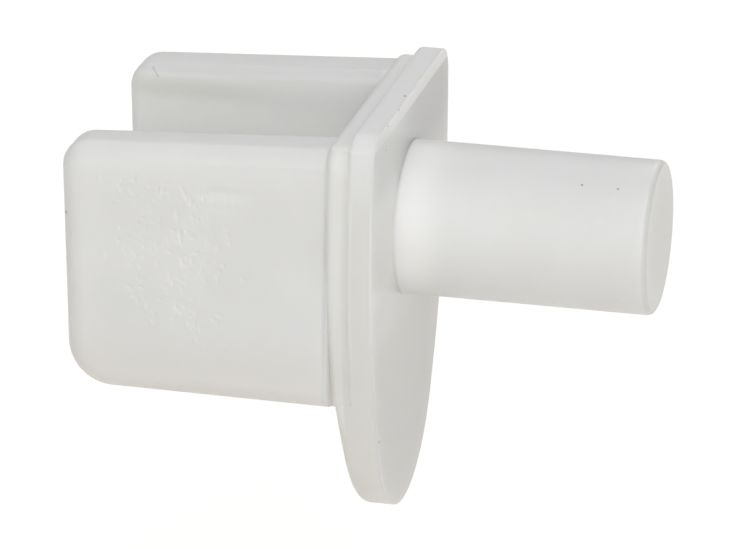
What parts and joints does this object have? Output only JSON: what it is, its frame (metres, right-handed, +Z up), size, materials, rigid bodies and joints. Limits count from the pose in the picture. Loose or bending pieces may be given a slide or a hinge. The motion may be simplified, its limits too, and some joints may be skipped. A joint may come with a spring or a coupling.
{
  "type": "shelf support pin",
  "caption": "Moulded plastic shelf support: a round pin plugs into a cabinet wall and an open channel behind a shield-shaped flange cradles the shelf's edge rod.",
  "frame": {"origin": "on the pin's axis, in the flange's face that seats against the cabinet wall", "axes": "+X along the pin towards its free end, +Z up, with the cradle's open top upwards"},
  "size_m": [0.0185, 0.0114, 0.0139],
  "materials": {
    "natural_plastic": "satin, slightly translucent natural white"
  },
  "bodies": {
    "root": {"support_pin": "natural_plastic"}
  },
  "joints": []
}
